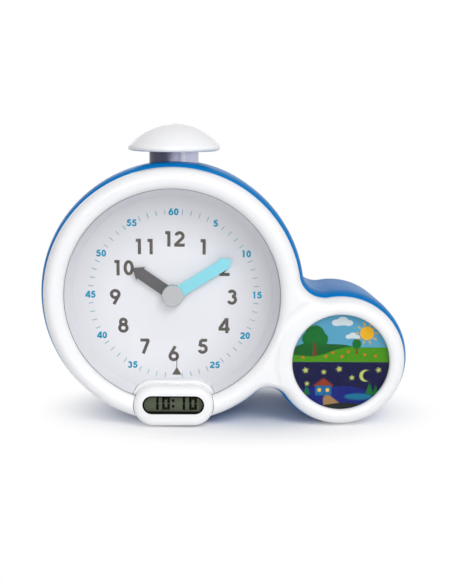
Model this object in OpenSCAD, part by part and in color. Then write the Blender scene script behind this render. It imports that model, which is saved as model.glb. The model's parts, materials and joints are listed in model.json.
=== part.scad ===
// Bedside alarm clock with a night light, in millimetres.
// X runs to the right of the dial, Y from front to back, Z up; the feet stand on Z = 0.
// Most pieces are drawn facing the viewer: x right, y up and z forward from the parting plane.

/* [Housing] */
// Radius of the large round lobe at the parting plane
main_r = 75; // [68:0.5:82]
// Radius of the small round lobe at the parting plane
lobe_r = 38; // [34:0.2:42]
// Sideways distance between the two lobe centres
lobe_dx = 98.5; // [94:0.5:102]
// How much lower the small lobe reaches than the large one
lobe_drop = 0.6; // [0:0.1:1]
// Radius of the hollow curve that joins the lobes above
upper_blend = 15; // [10:0.5:22]
// Radius of the hollow curve that joins the lobes below
lower_blend = 12.5; // [9:0.5:15]
// Plastic wall of both shells
wall = 2.2; // [1.6:0.1:2.6]
// Height of the straight rim of the front shell
rim_h = 1.5; // [0.5:0.1:3]
// Width of the rounded outer edge of the front shell
edge_w = 5.8; // [5:0.1:6.4]
// Height of the rounded outer edge above its straight rim
edge_h = 8; // [6:0.1:9]
// Radius of the soft groove round the small ring
valley_r = 8; // [6:0.1:10]
// Depth of the soft groove round the small ring
valley_depth = 0.8; // [0.4:0.1:1.4]
// Depth of the rear shell behind the parting plane
rear_depth = 68; // [62:1:74]
// How far the rear shell swells past the front shell
bulge = 2.5; // [1:0.1:3.5]
// Step between the two shells at the parting plane
shell_step = 0.3; // [0.1:0.05:0.6]
// Depth over which the rear shell swells
bulge_depth = 10; // [6:0.5:14]
// Depth at which the rear shell starts to taper
taper_start = 20; // [16:0.5:26]
// Taper of the rear shell towards its back edge
taper = 1.4; // [0.5:0.1:3]
// Depth of the rounded back edge
back_round_d = 12; // [8:0.5:14]
// Width of the rounded back edge
back_round_w = 8; // [5:0.5:9]

/* [Dial window] */
// Radius of the clear opening over the dial
window_r = 62.9; // [60:0.1:64]
// Height of the lip that holds the lens
window_lip_z = 4.9; // [4:0.1:6]
// Thickness of that lip
window_lip_t = 0.8; // [0.5:0.1:1.2]
// Thickness of the dial lens
lens_t = 2; // [1.5:0.1:2.4]
// Cover of the lip over the edge of the lens
lens_lap = 1.5; // [1:0.1:2]
// Wall round the window, outside the lens
window_wall = 2.2; // [1.6:0.1:3]
// Free fit between parts that are laid into each other
fit_gap = 0.2; // [0.1:0.05:0.3]
// Height of the dial face, below the parting plane
dial_z = -5; // [-7:0.1:-4.6]
// Radius of the dial left free by its surround
dial_open_r = 58.8; // [55:0.1:60]
// Thickness of the dial plate
dial_t = 1.2; // [0.8:0.1:1.6]

/* [Night light] */
// Radius of the clear opening over the picture
picture_r = 28.4; // [26:0.1:29]
// Height of the lip round the picture
picture_lip_z = 7; // [6:0.1:8]
// Cover of that lip over the picture lens
picture_lap = 1.4; // [0.8:0.1:1.6]
// Thickness of the picture lens
picture_lens_t = 1.4; // [1:0.1:2]
// Thickness of the printed picture disc
picture_t = 0.8; // [0.5:0.1:1.2]
// Depth of the light box behind the picture
light_box_h = 26; // [18:1:34]
// Wall of the light box
light_box_wall = 1.4; // [1:0.1:2]
// Thickness of the circuit boards
board_t = 1.6; // [1:0.1:2]
// Radius of a light emitting diode
led_r = 2.5; // [1.5:0.1:3]
// Height of a light emitting diode
led_h = 8; // [5:0.5:10]

/* [Display pod] */
// Width of the pod
pod_w = 47; // [46:0.5:50]
// Height of the pod
pod_h = 24; // [23.5:0.1:25]
// Height of the pod's underside over the floor
pod_gap = 1; // [0.4:0.1:1.4]
// Sideways place of the pod, from the dial centre
pod_x = 0.8; // [0:0.1:2]
// Height of the pod's face over the parting plane
pod_z = 12.5; // [11:0.1:14]
// Radius of the pod's rounded front edge
pod_edge = 4; // [2:0.1:5]
// Wall of the pod
pod_wall = 1.8; // [1.4:0.1:2.4]
// Width of the display opening
display_w = 36; // [30:0.5:36]
// Height of the display opening
display_h = 11; // [9:0.1:11]
// Height of the display over the middle of the pod
display_up = 1.1; // [0:0.1:1.2]
// Depth of the display window under the pod's face
display_sink = 0.5; // [0.2:0.1:1]
// Wall of the bridge that carries the pod across the window
bridge_wall = 1.4; // [1.2:0.1:3]
// Thickness of the display glass
display_t = 1.8; // [1.2:0.1:2.4]

/* [Snooze button] */
// Radius of the dome's sphere
dome_r = 35.4; // [33:0.1:40]
// Radius of the cap at its rim
cap_r = 27.4; // [24:0.2:29]
// Rounding of the cap's rim
cap_rim = 2; // [1.2:0.1:2.5]
// Wall of the cap
cap_wall = 2; // [1.4:0.1:2.6]
// Height of the cap's underside over the round of the housing
cap_gap = 8.2; // [6:0.2:11]
// Depth of the button's axis behind the parting plane
snooze_depth = 26; // [24:0.5:30]
// Radius of the stem
stem_r = 14.6; // [12:0.1:16]
// Wall of the stem
stem_wall = 1.8; // [1.2:0.1:2.4]
// Running clearance of the stem in its guide, on the radius
stem_clear = 0.1; // [0.05:0.01:0.1]
// Width of the stem's stop lip
stop_lip = 1.6; // [1:0.1:2]
// Travel of the button
snooze_travel = 2.5; // [1.5:0.1:4]
// Length of the guide's bore
guide_len = 12; // [8:0.5:14]
// Wall of the guide
guide_wall = 2; // [1.6:0.1:2.6]
// Wire radius of the return spring
spring_wire = 0.5; // [0.3:0.05:0.7]
// Coil radius of the return spring
spring_r = 8; // [6:0.2:10]
// Turns of the return spring
spring_turns = 6; // [4:1:8]

/* [Hands] */
// Length of the hour hand
hour_len = 28.4; // [25:0.2:32]
// Length of the minute hand
minute_len = 40.5; // [38:0.5:46]
// Width of both hands
hand_w = 6.8; // [4:0.1:7.5]
// Width of the arrow heads
arrow_w = 9.5; // [8:0.1:12]
// Length of the arrow heads
arrow_len = 5.6; // [5:0.1:9]
// Thickness of a hand
hand_t = 0.8; // [0.5:0.1:1]
// Radius of the cap over the hands
hub_r = 6.2; // [5.5:0.1:8]
// Angle of the hour hand, anticlockwise from three
hour_at = 145.5; // [0:0.5:360]
// Angle of the minute hand, anticlockwise from three
minute_at = 32; // [0:1:360]

/* [Movement] */
// Side of the square movement case
movement_side = 56; // [52:1:60]
// Depth of the movement case
movement_depth = 16; // [15:0.5:20]
// Wall of the movement case
movement_wall = 1.5; // [1.2:0.1:2]
// Distance from the centre to the minute wheel
gear_centres = 12; // [11:0.1:13]
// Teeth of the cannon pinion
cannon_teeth = 12; // [12:1:12]
// Teeth of the minute wheel
minute_teeth = 36; // [36:1:36]
// Teeth of the minute wheel's pinion
pinion_teeth = 10; // [10:1:10]
// Teeth of the hour wheel
hour_teeth = 40; // [40:1:40]
// Thickness of the gears
gear_t = 1.2; // [0.8:0.1:1.6]
// Play between meshing teeth
backlash = 0.12; // [0.08:0.01:0.2]
// Radius of the arbor that carries the minute hand
arbor_r = 1.3; // [1:0.05:1.5]
// Radius of the pipe that carries the hour hand
pipe_r = 2.3; // [2:0.05:2.6]
// Radius of the threaded bush that holds the dial
bush_r = 4; // [3.6:0.1:4.6]
// Running clearance of shafts in their holes, on the radius
run_clear = 0.06; // [0.03:0.01:0.1]
// Radius of the setting shaft
set_shaft_r = 2; // [1.6:0.1:2.4]
// Radius of the pivots at the arbor ends
pivot_r = 0.7; // [0.5:0.05:0.9]
// Radius of the time setting knob
knob_r = 8.5; // [7:0.1:10]
// Length of the knob's head
knob_h = 6; // [4:0.5:8]
// How far the knob stands out of the back
knob_out = 2.6; // [1:0.1:4]
// Grip flutes round the knob
knob_flutes = 20; // [12:1:30]

/* [Back controls] */
// Radius of the push buttons
button_r = 4; // [3:0.1:5]
// Spacing of the push buttons
button_pitch = 13; // [12:0.5:15]
// Left edge to first button, measured from the dial centre
button_x = 23; // [20:0.5:26]
// Height of the push buttons over the dial centre
button_y = 32; // [28:0.5:34]
// How far a push button stands out
button_out = 1.2; // [0.6:0.1:2]
// Travel of a push button
button_travel = 0.8; // [0.3:0.1:1]
// Height of the slide switches over the dial centre
slider_y = 14; // [12:0.5:17]
// Travel of a slide switch
slider_travel = 4; // [2:0.2:5]
// Width of a slide switch's thumb piece
slider_w = 4.6; // [3.6:0.1:6]
// Height of a slide switch's thumb piece
slider_h = 3.6; // [2.6:0.1:4.6]
// How far a thumb piece stands out
slider_out = 1.5; // [1:0.1:2.5]
// Radius of the speaker
speaker_r = 18; // [15:0.5:20]
// Place of the speaker across
speaker_x = -38; // [-40:0.5:-34]
// Place of the speaker over the dial centre
speaker_y = 20; // [14:0.5:22]
// Radius of a grille hole
grille_r = 1.2; // [0.8:0.1:1.4]
// Spacing of the rings of grille holes
grille_pitch = 4.2; // [3.6:0.1:4.6]
// Place of the supply inlet across
jack_x = 47; // [42:0.5:50]
// Place of the supply inlet over the dial centre
jack_y = -20; // [-26:0.5:-16]
// Radius of the supply inlet's mouth
jack_r = 2.75; // [2.5:0.05:3]

/* [Batteries] */
// Length of a cell
cell_len = 50; // [48:0.5:51]
// Radius of a cell
cell_r = 7.1; // [6.8:0.05:7.25]
// Number of cells
cells = 3; // [2:1:3]
// Space at each end of a cell for its contact
contact_room = 2.6; // [2:0.1:3.4]
// Height of the battery door's hinge over the underside of the housing
door_rise = 15.5; // [15:0.5:17]
// Thickness of the battery door
door_t = 2.2; // [2.2:0.1:2.6]
// Free gap round the battery door
door_gap = 0.3; // [0.2:0.05:0.5]
// Radius of the door's hinge pins
door_pin_r = 0.6; // [0.4:0.05:0.7]

/* [Fasteners and feet] */
// Radius of a screw's shank
screw_r = 1.5; // [1.2:0.05:1.8]
// Radius of a screw's head
screw_head_r = 2.8; // [2.4:0.1:3]
// Height of a screw's head
screw_head_h = 1.8; // [1.4:0.1:2.2]
// Distance of the housing screws inside the round of the housing
boss_inset = 5.8; // [5:0.1:7]
// Wall of the screw wells
well_wall = 1.1; // [0.9:0.1:1.4]
// Depth of the screw heads behind the parting plane
well_seat = 12; // [8:0.5:14]
// Radius of a foot
foot_r = 4.5; // [3.5:0.1:5]
// Thickness of a foot
foot_t = 1.5; // [1:0.1:2.5]

/* [Hidden] */
$fn = 96;

steps = 8;
reach = 400;
blend_lap = 0.05;
boss_angles = [55, 125, 180, 235, 305];
neck_in_upper = 9.5;
neck_in_lower = 5.2;
boss_wall = 1.9;
valley_out = 1.5;
surround_lip = 0.4;
end_lap = 0.01;
flange_t = 1;
flange_lap = 0.8;
peg_x = 20.6;
peg_r = 1.4;
led_y = 13;
light_post_x = 18;
light_post_y = 8;
board_screw_r = 1.1;
board_screw_len = 7;
stop_t = 2;
stop_clear = 0.4;
stem_in_cap = 6;
post_r = 2.5;
base_t = 2;
switch_side = 6;
snooze_switch_h = 3.6;
tact_h = 3.8;
plunger_h = 0.8;
plunger_r = 1.7;
slide_h = 4;
split_depth = 11;
case_corner = 3;
nut_r = 6.3;
nut_t = 1.1;
hand_gap = 0.5;
gear_gap = 1.5;
pivot_boss_r = 2.2;
coil_side = 9;
coil_len = 16;
coil_x = -12;
coil_y = -18;
set_shaft_out = 7;
set_shaft_grip = 6;
knob_stem_r = 3;
flute_depth = 0.5;
arrow_barb = 0.3;
hand_eye_r = 6.3;
hub_h = 1.8;
hub_bevel = 0.4;
knob_room = 1.5;
knob_under = 0.4;
tray_wall = 1.6;
tongue_w = 12;
tongue_h = 7;
tongue_seat = 8;
sleeve_len = 8;
board_room = 8.8;
slider_pitch = 23;
foot_spread = 13;
lobe_foot_spread = 8.5;
foot_front_d = 9;
foot_back_d = 50;
jack_w = 9;
jack_h = 11;
jack_wall = 1.4;
jack_grip = 8;
jack_depth = 13;
jack_nose_r = 3.9;
jack_pin_r = 1.05;
jack_bore = 9.5;
speaker_rim = 1.4;
speaker_hem = 2;
speaker_t = 1.2;
basket_h = 6;
basket_wall = 1.4;
basket_step = 0.4;
magnet_r = 9;
magnet_h = 5;
voice_r = 5;
cone_h = 5.6;
cone_t = 0.4;
board_side = 9;
board_head = 10;
post_inset = 3;
slide_body_w = 12;
slide_body_h = 6;
door_pin_len = 1.6;
swing_room = 0.45;
head_sink = 1.4;
guide_drop = 2.5;
cell_nub_r = 2.7;
contact_t = 0.4;

// Heights and places that follow from the sizes above
main_z = main_r + foot_t;
lobe_dy = lobe_r - main_r - lobe_drop;
crest_z = rim_h + edge_h;
cap_z = main_r + cap_gap;
boss_circle = main_r - boss_inset;
door_low = door_rise - main_r;
guide_top = main_r - guide_drop;
guide_low = guide_top - guide_len;
guide_r = stem_r + stop_lip + stop_clear + guide_wall;
row_left = main_r + bulge;
row_right = lobe_dx + lobe_r + bulge;
main_x = (row_left - row_right) / 2;
back_most = rear_depth + knob_out;
parting_y = (pod_z - back_most) / 2;

// Centre of a blend circle that touches both lobes from outside
function blend_centre(f, side) =
  let (a = main_r + f, b = lobe_r + f, d = norm([lobe_dx, lobe_dy]))
  let (along = (a * a - b * b + d * d) / (2 * d), away = sqrt(a * a - along * along))
  let (ux = [lobe_dx, lobe_dy] / d, uy = [-ux[1], ux[0]])
  along * ux + side * away * uy;
function heading(v) = atan2(v[1], v[0]);
function at(r, a) = [r * cos(a), r * sin(a)];
lobe_c = [lobe_dx, lobe_dy];
upper_c = blend_centre(upper_blend, 1);
lower_c = blend_centre(lower_blend, -1);
kite = [[0, 0], lower_c, lobe_c, upper_c];

// Sections are lists of [distance outside the outline, height], from the parting plane on
function front_section(inset, start) = concat([[-inset, start]],
  [for (i = [0:steps]) let (a = 90 * i / steps)
    [-edge_w + (edge_w - inset) * cos(a), rim_h + (edge_h - inset) * sin(a)]]);
function rear_section(inset, start) = concat([[-shell_step - inset, start]],
  [for (i = [1:steps]) let (a = 90 * i / steps)
    [-shell_step + (bulge + shell_step) * sin(a) - inset, -bulge_depth * (1 - cos(a))]],
  [[bulge - inset, -taper_start]],
  [for (i = [0:steps]) let (a = 90 * i / steps)
    [bulge - taper - back_round_w + (back_round_w - inset) * cos(a),
     -(rear_depth - back_round_d) - (back_round_d - inset) * sin(a)]]);

// Outlines
function arc_points(r, a0, a1, n) = [for (i = [0:n]) at(r, a0 + (a1 - a0) * i / n)];
function pill(w, h) = concat(
  [for (p = arc_points(h / 2, -90, 90, 24)) p + [(w - h) / 2, 0]],
  [for (p = arc_points(h / 2, 90, 270, 24)) p - [(w - h) / 2, 0]]);
function soft_square(w, h, r) = [for (q = [0:3], p = arc_points(r, 90 * q, 90 * q + 90, 4))
  p + [(q == 0 || q == 3 ? 1 : -1) * (w / 2 - r), (q < 2 ? 1 : -1) * (h / 2 - r)]];

// Involute gear outline with its first tooth on the x axis
pressure = 20;
function inv_angle(a) = tan(a) * 180 / PI - a;
function gear_points(pitch, teeth) =
  let (m = 2 * pitch / teeth, base = pitch * cos(pressure), tip = pitch + 0.9 * m)
  let (root = pitch - 1.2 * m, low = max(base, root))
  let (half = 90 / teeth - backlash / pitch * 90 / PI + inv_angle(pressure))
  let (radii = [for (i = [0:4]) low + (tip - low) * i / 4])
  let (turns = [for (r = radii) half - inv_angle(acos(min(1, base / r)))])
  [for (t = [0:teeth - 1]) let (mid = 360 * t / teeth) each concat(
    [at(root, mid - turns[0])],
    [for (i = [0:4]) at(radii[i], mid - turns[i])],
    [for (i = [4:-1:0]) at(radii[i], mid + turns[i])],
    [at(root, mid + turns[0])])];

module face() translate([main_x, parting_y, main_z]) rotate([90, 0, 0]) children();
module at_lobe() translate([lobe_dx, lobe_dy, 0]) children();
module upright() translate([0, 0, -snooze_depth]) rotate([-90, 0, 0]) children();
module slab(outline, low, high) translate([0, 0, low]) linear_extrude(high - low) polygon(outline);
module rod(r, low, high) translate([0, 0, low]) cylinder(r = r, h = high - low);
module ring(r_out, r_in, low, high) difference() {
  rod(r_out, low, high);
  rod(r_in, low - 1, high + 1);
}
module block(low, high) translate(low) cube(high - low);

// Solid whose edge follows the outline of the two joined lobes. The blends are a hair
// larger than tangent, so that their surfaces cross those of the lobes cleanly.
module lobe_form(r, section)
  rotate_extrude()
    polygon(concat([[0, section[0][1]]], [for (p = section) [r + p[0], p[1]]],
      [[0, section[len(section) - 1][1]]]));
module blend_cutter(c, f, section) {
  last = section[len(section) - 1];
  beyond = last[1] > section[0][1] ? 1 : -1;
  translate([c[0], c[1], 0])
    rotate_extrude()
      polygon(concat([[0, section[0][1] - beyond], [f - section[0][0], section[0][1] - beyond]],
        [for (p = section) [f - p[0], p[1]]],
        [[f - last[0], last[1] + beyond], [0, last[1] + beyond]]));
}
module figure_eight(section) {
  ends = [section[0][1], section[len(section) - 1][1]];
  lobe_form(main_r, section);
  at_lobe() lobe_form(lobe_r, section);
  difference() {
    slab(kite, min(ends), max(ends));
    blend_cutter(upper_c, upper_blend + blend_lap, section);
    blend_cutter(lower_c, lower_blend + blend_lap, section);
  }
}

// Housing screws: five round the large lobe and two in the neck
waist = lobe_c * main_r / (main_r + lobe_r);
function towards(from, to, far) = from + far * (to - from) / norm(to - from);
boss_places = concat([for (a = boss_angles) at(boss_circle, a)],
  [towards(upper_c, waist, upper_blend + neck_in_upper),
   towards(lower_c, waist, lower_blend + neck_in_lower)]);
well_r = screw_head_r + fit_gap + well_wall;
boss_r = screw_r + boss_wall;
pilot_r = screw_r + 0.05;
boss_top = crest_z - wall + 0.3;
pilot_top = boss_top - 1.5;
module at_bosses() for (p = boss_places) translate([p[0], p[1], 0]) children();

// Window and picture openings
window_crest = main_r - edge_w - 0.2;
lens_r = window_r + lens_lap;
lens_front = window_lip_z - window_lip_t;
lens_back = lens_front - lens_t;
window_wall_r = lens_r + fit_gap + window_wall;
picture_crest = lobe_r - edge_w - 0.2;
picture_lens_r = picture_r + picture_lap;
picture_wall_r = picture_lens_r + fit_gap + wall;
picture_front = picture_lip_z - window_lip_t;
picture_back = picture_front - picture_lens_t;
light_top = picture_back - picture_t;
light_low = light_top - light_box_h;
light_box_r = picture_lens_r;
module window_cutter(r, crest, lip_z, rebate_r, rebate_z)
  rotate_extrude()
    polygon(concat([[0, -reach], [rebate_r, -reach], [rebate_r, rebate_z], [r, rebate_z]],
      [for (i = [0:steps]) let (a = 90 * i / steps)
        [r + (crest - r) * (1 - cos(a)), lip_z + (crest_z - lip_z) * sin(a)]],
      [[crest, crest_z + 1], [0, crest_z + 1]]));

// Display pod: a pill made of two round ends and a bar, whose sides cross the ends cleanly
pod_y = pod_gap + pod_h / 2 - main_z;
pod_hole = [pod_w + 2 * fit_gap, pod_h + 2 * fit_gap];
bridge = pod_hole + [2 * bridge_wall, 2 * bridge_wall];
end_x = (pod_w - pod_h) / 2;
display_back = pod_z - pod_wall;
panel_front = display_back - flange_t;
panel_back = panel_front - display_t;
module at_pod() translate([pod_x, pod_y, 0]) children();
module at_display() at_pod() translate([0, display_up, 0]) children();
function pod_section(inset, start) = concat([[-inset, start]],
  [for (i = [0:steps]) let (a = 90 * i / steps)
    [-pod_edge + (pod_edge - inset) * cos(a), pod_z - pod_edge + (pod_edge - inset) * sin(a)]]);
module pod_form(section) {
  r = pod_h / 2;
  half = [for (p = section) [r - end_lap + p[0], p[1]]];
  for (side = [-1, 1]) translate([side * end_x, 0, 0]) lobe_form(r, section);
  translate([-end_x, 0, 0])
    rotate([90, 0, 90])
      linear_extrude(2 * end_x)
        polygon(concat(half, [for (i = [len(half) - 1:-1:0]) [-half[i][0], half[i][1]]]));
}

module front_shell() color("white") face() difference() {
  union() {
    difference() {
      figure_eight(front_section(0, 0));
      difference() {
        figure_eight(front_section(wall, -1));
        rod(window_wall_r, -2, crest_z);
        at_lobe() rod(picture_wall_r, -2, crest_z);
        at_bosses() rod(boss_r, -2, boss_top);
      }
    }
    intersection() {
      at_pod() slab(pill(bridge[0], bridge[1]), dial_z, lens_back);
      rod(lens_r, dial_z - 1, crest_z);
    }
    intersection() {
      at_pod() slab(pill(bridge[0], bridge[1]), 0, lens_back);
      rod(window_wall_r, -1, crest_z);
    }
  }
  difference() {
    window_cutter(window_r, window_crest, window_lip_z, lens_r + fit_gap, lens_front);
    at_pod() slab(pill(bridge[0], bridge[1]), -reach, lens_back);
  }
  at_lobe()
    window_cutter(picture_r, picture_crest, picture_lip_z, picture_lens_r + fit_gap, picture_front);
  at_pod() slab(pill(pod_hole[0], pod_hole[1]), -reach, reach);
  at_bosses() rod(pilot_r, -1, pilot_top);
  at_lobe() intersection() {
    rotate_extrude()
      translate([lobe_r + valley_out, crest_z + valley_r - valley_depth]) circle(valley_r);
    slab([for (p = kite) p - lobe_c], 0, reach);
  }
}

module dial_lens() color("lightcyan", 0.3) face() difference() {
  rod(lens_r, lens_back, lens_front);
  at_pod() slab(pill(pod_hole[0], pod_hole[1]), -reach, reach);
}

module dial_surround() color("white") face() difference() {
  rotate_extrude()
    polygon([[window_r, lens_back], [lens_r, lens_back], [lens_r, dial_z], [dial_open_r, dial_z],
      [dial_open_r, dial_z + surround_lip]]);
  at_pod() slab(pill(bridge[0] + 2 * fit_gap, bridge[1] + 2 * fit_gap), -reach, reach);
}

module dial_plate() color("gainsboro") face() difference() {
  rod(lens_r, dial_z - dial_t, dial_z);
  rod(bush_r + fit_gap, -reach, reach);
}

module lcd_pod() color("white") face() difference() {
  at_pod() pod_form(pod_section(0, 0));
  difference() {
    at_pod() pod_form(pod_section(pod_wall, -1));
    at_display()
      for (side = [-1, 1]) translate([side * peg_x, 0, 0]) rod(peg_r, panel_back, pod_z);
  }
  at_display() slab(pill(display_w, display_h), 0, reach);
}

module lcd_window() color("lightgray", 0.4) face() at_display() {
  slab(pill(display_w - fit_gap, display_h - fit_gap), panel_front, pod_z - display_sink);
  slab(pill(display_w + 2 * flange_lap, display_h + 2 * flange_lap), panel_front, display_back);
}

module lcd_panel() color("darkseagreen") face() at_display()
  block([-display_w / 2, -display_h / 2 - 0.5, panel_back],
    [display_w / 2, display_h / 2 + 0.5, panel_front]);

module display_board() color("seagreen") face() at_display()
  slab(pill(2 * peg_x + 0.8, display_h + 4), panel_back - board_t, panel_back);

// Night light in the small lobe
module picture_lens() color("lightcyan", 0.3) face() at_lobe()
  rod(picture_lens_r, picture_back, picture_front);
module picture_disc() color("mediumseagreen") face() at_lobe()
  rod(picture_lens_r, light_top, picture_back);
module light_box() color("whitesmoke") face() at_lobe() {
  ring(light_box_r, light_box_r - light_box_wall, light_low, light_top);
  block([-light_box_r + light_box_wall / 2, -light_box_wall / 2, light_low],
    [light_box_r - light_box_wall / 2, light_box_wall / 2, light_top]);
}
module light_board() color("seagreen") face() at_lobe() difference() {
  rod(light_box_r, light_low - board_t, light_low);
  for (side = [-1, 1]) translate([side * light_post_x, -side * light_post_y, 0])
    rod(board_screw_r + 0.1, -reach, reach);
}
module led(side) face() at_lobe() translate([0, side * led_y, light_low]) {
  cylinder(r = led_r, h = led_h - led_r);
  translate([0, 0, led_h - led_r]) sphere(led_r);
  cylinder(r = led_r + 0.4, h = 1);
}
module day_led() color("white") led(1);
module night_led() color("lightyellow") led(-1);

// Snooze button, drawn upright about its own axis with heights over the dial centre
stem_low = guide_low - stop_t;
base_top = stem_low - snooze_travel - snooze_switch_h;
rim_c = cap_r - cap_rim;
dome_c = cap_z + cap_rim - sqrt(pow(dome_r - cap_rim, 2) - rim_c * rim_c);
dome_from = atan2(cap_z + cap_rim - dome_c, rim_c);
dome_in = dome_r - cap_wall;
mouth_r = rim_c - 1;
stem_top = cap_z + stem_in_cap;
web_z = guide_low + guide_len;
module snooze_cap() color("white") face() upright() {
  rotate_extrude()
    polygon(concat([for (p = arc_points(dome_r, 90, dome_from, 2 * steps)) p + [0, dome_c]],
      [for (p = arc_points(cap_rim, dome_from, -90, steps)) p + [rim_c, cap_z + cap_rim]],
      [[mouth_r, cap_z]],
      [for (p = arc_points(dome_in, acos(mouth_r / dome_in), 90, 2 * steps)) p + [0, dome_c]]));
  ring(stem_r + fit_gap + cap_wall, stem_r + fit_gap, cap_z + 0.5, collar_top(stem_r + fit_gap + cap_wall));
  ring(stem_r + fit_gap + 0.5, stem_r - stem_wall, stem_top, collar_top(stem_r + fit_gap + 0.5));
}
function collar_top(r) = dome_c + sqrt(dome_in * dome_in - r * r) + cap_wall / 3;

module snooze_stem() color("silver") face() upright() difference() {
  union() {
    rod(stem_r, stem_low, stem_top);
    rod(stem_r + stop_lip, stem_low, guide_low);
  }
  difference() {
    rod(stem_r - stem_wall, stem_low - 1, stem_top + 1);
    rod(stem_r, web_z, web_z + stem_wall);
    rod(post_r, stem_low, web_z);
  }
}

module snooze_guide() color("whitesmoke") face() upright() difference() {
  rod(guide_r, base_top, guide_top);
  rod(stem_r + stem_clear, -reach, reach);
  rod(stem_r + stop_lip + stop_clear, -reach, guide_low);
}
module snooze_base() color("whitesmoke") face() upright()
  rod(guide_r, base_top - base_t, base_top);
module snooze_switch() color("dimgray") face() upright() {
  block([-switch_side / 2, -switch_side / 2, base_top],
    [switch_side / 2, switch_side / 2, base_top + snooze_switch_h - plunger_h]);
  rod(plunger_r, base_top, base_top + snooze_switch_h);
}

// Helix swept as one closed skin of rings
module coil(r, wire, low, high, turns, per_turn, sides) {
  count = turns * per_turn;
  rise = high - low - 2 * wire;
  points = [for (i = [0:count], j = [0:sides - 1])
    let (a = 360 * i / per_turn, b = 360 * j / sides)
    [(r + wire * cos(b)) * cos(a), (r + wire * cos(b)) * sin(a),
     low + wire + rise * i / count + wire * sin(b)]];
  skin = [for (i = [0:count - 1], j = [0:sides - 1]) let (k = (j + 1) % sides)
    [i * sides + j, i * sides + k, (i + 1) * sides + k, (i + 1) * sides + j]];
  polyhedron(points, concat(skin, [[for (j = [sides - 1:-1:0]) j]],
    [[for (j = [0:sides - 1]) count * sides + j]]));
}
module snooze_spring() color("silver") face() upright()
  coil(spring_r, spring_wire, base_top, web_z, spring_turns, 16, 6);

// Movement and its motion work
case_front = dial_z - dial_t;
case_back = case_front - movement_depth;
case_split = case_front - split_depth;
bush_top = dial_z + nut_t + 0.2;
hour_hand_z = bush_top + hand_gap;
minute_hand_z = hour_hand_z + hand_t + hand_gap;
cap_low = minute_hand_z + hand_t;
minute_pitch_r = gear_centres * minute_teeth / (minute_teeth + cannon_teeth);
cannon_pitch_r = gear_centres - minute_pitch_r;
hour_pitch_r = gear_centres * hour_teeth / (hour_teeth + pinion_teeth);
pinion_pitch_r = gear_centres - hour_pitch_r;
hour_gear_z = case_front - movement_wall - gear_gap - gear_t;
minute_gear_z = hour_gear_z - gear_gap - gear_t;
set_end = case_back - set_shaft_out;
module case_shell(low, high, open_low) {
  difference() {
    slab(soft_square(movement_side, movement_side, case_corner), low, high);
    slab(soft_square(movement_side - 2 * movement_wall, movement_side - 2 * movement_wall,
      case_corner - movement_wall), open_low ? low - 1 : low + movement_wall,
      open_low ? high - movement_wall : high + 1);
  }
}
module at_setting() translate([0, gear_centres, 0]) children();
module movement_case() color("black") face() difference() {
  union() {
    case_shell(case_split, case_front, true);
    rod(bush_r, case_front - movement_wall, bush_top);
    at_setting() rod(pivot_boss_r, hour_gear_z + gear_t + 0.6, case_front);
  }
  rod(pipe_r + run_clear, -reach, reach);
  at_setting() rod(pivot_r + run_clear, -reach, case_front - 0.5);
}
module movement_lid() color("black") face() difference() {
  union() {
    case_shell(case_back, case_split, false);
    rod(pivot_boss_r, case_back, case_back + movement_wall + 1.5);
  }
  rod(pivot_r + run_clear, case_back + 0.6, reach);
  at_setting() rod(set_shaft_r + run_clear, -reach, reach);
}
module movement_nut() color("goldenrod") face() difference() {
  translate([0, 0, dial_z]) cylinder(r = nut_r, h = nut_t, $fn = 6);
  rod(bush_r + 0.02, -reach, reach);
}
module drive_coil() color("peru") face() {
  centre_z = case_front - movement_wall - coil_side / 2;
  translate([coil_x, coil_y, centre_z]) rotate([0, 90, 0]) {
    cylinder(r = coil_side / 2 - 0.8, h = coil_len, center = true);
    for (side = [-1, 1]) translate([0, 0, side * (coil_len / 2 + 0.5)])
      cube([coil_side, coil_side, 1], center = true);
  }
}
module gear(pitch, teeth, low, high, turn)
  rotate([0, 0, turn]) slab(gear_points(pitch, teeth), low, high);
module minute_arbor() color("gold") face() {
  rod(pivot_r, case_back + 0.8, minute_gear_z);
  rod(arbor_r, case_back + movement_wall + 1.8, cap_low);
  gear(cannon_pitch_r, cannon_teeth, minute_gear_z - 0.3, minute_gear_z + gear_t + 0.1, 90);
}
module hour_wheel() color("gold") face() difference() {
  union() {
    gear(hour_pitch_r, hour_teeth, hour_gear_z, hour_gear_z + gear_t, 90 + 180 / hour_teeth);
    rod(pipe_r, hour_gear_z, hour_hand_z + hand_t);
  }
  rod(arbor_r + run_clear, -reach, reach);
}
module minute_wheel() color("gold") face() at_setting() {
  gear(minute_pitch_r, minute_teeth, minute_gear_z, minute_gear_z + gear_t, 270 + 180 / minute_teeth);
  gear(pinion_pitch_r, pinion_teeth, minute_gear_z, hour_gear_z + gear_t + 0.3, 270);
  rod(pivot_r, minute_gear_z, case_front - 0.7);
  rod(set_shaft_r, set_end, minute_gear_z);
}
module time_set_knob() color("white") face() at_setting() {
  difference() {
    rod(knob_stem_r, -back_most + 1, set_end + set_shaft_grip);
    rod(set_shaft_r + 0.02, set_end, 0);
  }
  slab(fluted(knob_r, knob_flutes), -back_most, -back_most + knob_h);
}
function fluted(r, n) = [for (i = [0:n - 1], j = [0:3]) let (a = 360 * (i + j / 4) / n)
  at(r - (j == 0 || j == 3 ? 0 : flute_depth), a)];

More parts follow.
